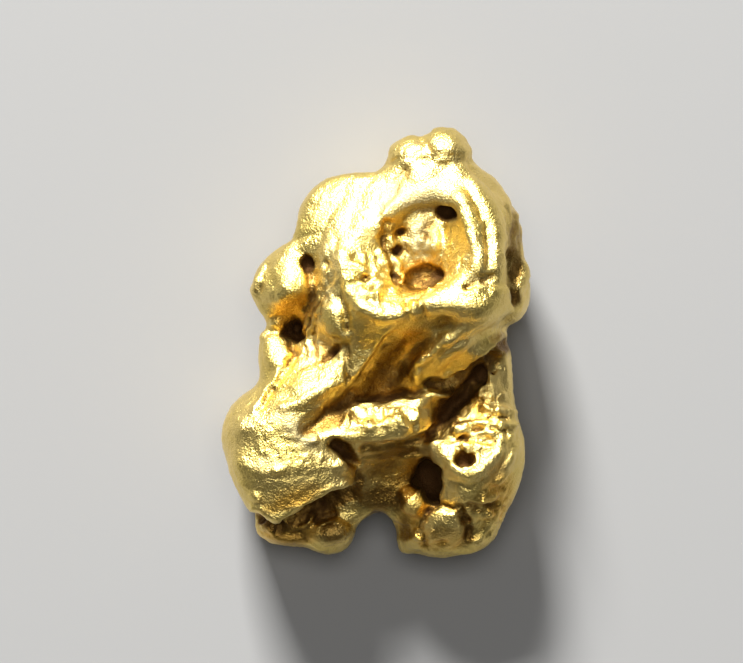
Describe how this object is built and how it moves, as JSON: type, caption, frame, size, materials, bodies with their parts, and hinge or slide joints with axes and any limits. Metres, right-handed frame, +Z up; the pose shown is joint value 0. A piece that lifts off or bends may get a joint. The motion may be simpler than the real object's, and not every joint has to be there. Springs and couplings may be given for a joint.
{
  "type": "gold nugget",
  "caption": "Small natural gold nugget: one lumpy solid with a crater, folded ridges, pits and two short feet, lying on its worn underside.",
  "frame": {"origin": "on the surface it rests on, under the middle of the nugget's bounding box", "axes": "+Z up, away from the worn underside; +Y along the nugget's length, from the two feet to the knob"},
  "size_m": [0.0086, 0.012, 0.0055],
  "materials": {
    "native_gold": "satin, water-worn native gold with darker stain in the pits"
  },
  "bodies": {
    "root": {"nugget": "native_gold"}
  },
  "joints": []
}
